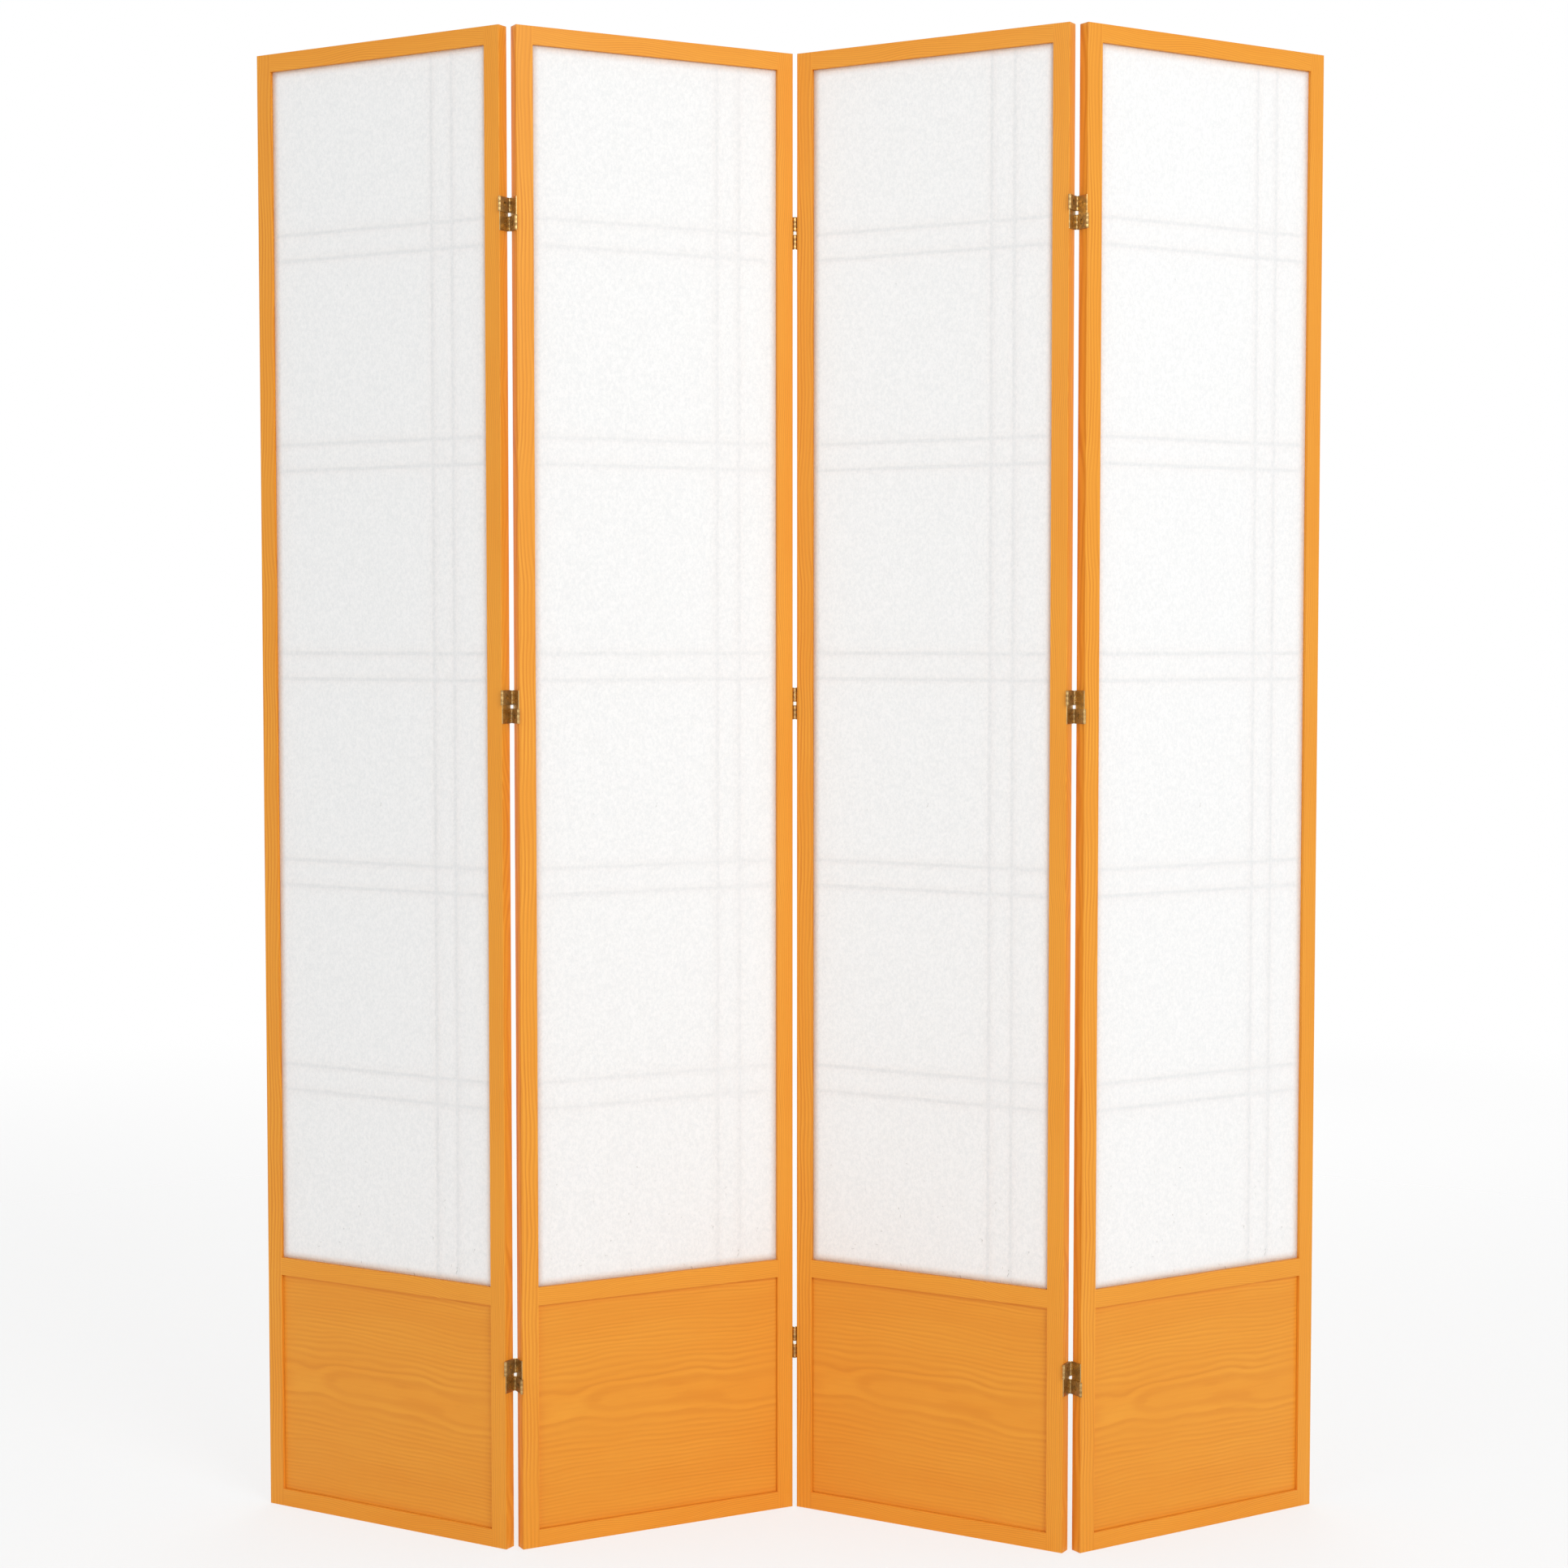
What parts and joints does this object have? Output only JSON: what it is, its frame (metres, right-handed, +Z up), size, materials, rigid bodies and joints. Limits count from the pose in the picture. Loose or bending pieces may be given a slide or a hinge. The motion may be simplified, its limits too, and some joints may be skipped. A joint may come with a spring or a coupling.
{
  "type": "folding screen",
  "caption": "Folding screen of tall wooden frames with paper over a lattice and a low kickboard, standing in a zigzag on two-way hinges.",
  "frame": {"origin": "middle of the bounding box at floor level, with the screen standing in the pictured zigzag", "axes": "+Z up, -Y towards the side that shows the paper, which is the screen's back, +X to the right seen from that side"},
  "size_m": [1.55, 0.2544, 2.134],
  "materials": {
    "frame_wood": "honey-stained softwood under satin lacquer",
    "kickboard_veneer": "honey-stained veneer on thin plywood, grain level",
    "lattice_wood": "honey-stained softwood strip",
    "dowel_wood": "plain beech",
    "shoji_paper": "white fibrous translucent paper",
    "hinge_brass": "aged brass plate with bright edges",
    "pin_brass": "drawn brass wire",
    "screw_brass": "brass-plated countersunk screw"
  },
  "bodies": {
    "panel_1": {"panel_1_stile_left": "frame_wood", "panel_1_stile_right": "frame_wood", "panel_1_top_rail": "frame_wood", "panel_1_middle_rail": "frame_wood", "panel_1_bottom_rail": "frame_wood", "panel_1_dowels": "dowel_wood", "panel_1_kickboard": "kickboard_veneer", "panel_1_paper": "shoji_paper", "panel_1_lattice_horizontals": "lattice_wood", "panel_1_lattice_verticals": "lattice_wood", "panel_1_hinge_pins": "pin_brass", "panel_1_hinge_screws": "screw_brass", "hinge_1_2_leaves_left": "hinge_brass", "hinge_1_2_links_upper": "hinge_brass"},
    "panel_2": {"panel_2_stile_left": "frame_wood", "panel_2_stile_right": "frame_wood", "panel_2_top_rail": "frame_wood", "panel_2_middle_rail": "frame_wood", "panel_2_bottom_rail": "frame_wood", "panel_2_dowels": "dowel_wood", "panel_2_kickboard": "kickboard_veneer", "panel_2_paper": "shoji_paper", "panel_2_lattice_horizontals": "lattice_wood", "panel_2_lattice_verticals": "lattice_wood", "panel_2_hinge_pins": "pin_brass", "panel_2_hinge_screws": "screw_brass", "hinge_1_2_leaves_right": "hinge_brass", "hinge_1_2_links_lower": "hinge_brass", "hinge_2_3_leaves_left": "hinge_brass", "hinge_2_3_links_lower": "hinge_brass"},
    "panel_3": {"panel_3_stile_left": "frame_wood", "panel_3_stile_right": "frame_wood", "panel_3_top_rail": "frame_wood", "panel_3_middle_rail": "frame_wood", "panel_3_bottom_rail": "frame_wood", "panel_3_dowels": "dowel_wood", "panel_3_kickboard": "kickboard_veneer", "panel_3_paper": "shoji_paper", "panel_3_lattice_horizontals": "lattice_wood", "panel_3_lattice_verticals": "lattice_wood", "panel_3_hinge_pins": "pin_brass", "panel_3_hinge_screws": "screw_brass", "hinge_2_3_leaves_right": "hinge_brass", "hinge_2_3_links_upper": "hinge_brass", "hinge_3_4_leaves_left": "hinge_brass", "hinge_3_4_links_upper": "hinge_brass"},
    "panel_4": {"panel_4_stile_left": "frame_wood", "panel_4_stile_right": "frame_wood", "panel_4_top_rail": "frame_wood", "panel_4_middle_rail": "frame_wood", "panel_4_bottom_rail": "frame_wood", "panel_4_dowels": "dowel_wood", "panel_4_kickboard": "kickboard_veneer", "panel_4_paper": "shoji_paper", "panel_4_lattice_horizontals": "lattice_wood", "panel_4_lattice_verticals": "lattice_wood", "panel_4_hinge_pins": "pin_brass", "panel_4_hinge_screws": "screw_brass", "hinge_3_4_leaves_right": "hinge_brass", "hinge_3_4_links_lower": "hinge_brass"}
  },
  "joints": [
    {"name": "fold_1_2", "type": "hinge", "parent": "panel_2", "child": "panel_1", "pos_m": [-0.38973, -0.08846, 0], "axis": [0, 0, -1], "range_deg": [-57.8, 121.2]},
    {"name": "fold_2_3", "type": "hinge", "parent": "panel_2", "child": "panel_3", "pos_m": [0.00702, 0.0931, 0], "axis": [0, 0, -1], "range_deg": [-57.7, 121.3]},
    {"name": "fold_3_4", "type": "hinge", "parent": "panel_3", "child": "panel_4", "pos_m": [0.39583, -0.10491, 0], "axis": [0, 0, 1], "range_deg": [-61.9, 117.1]}
  ]
}
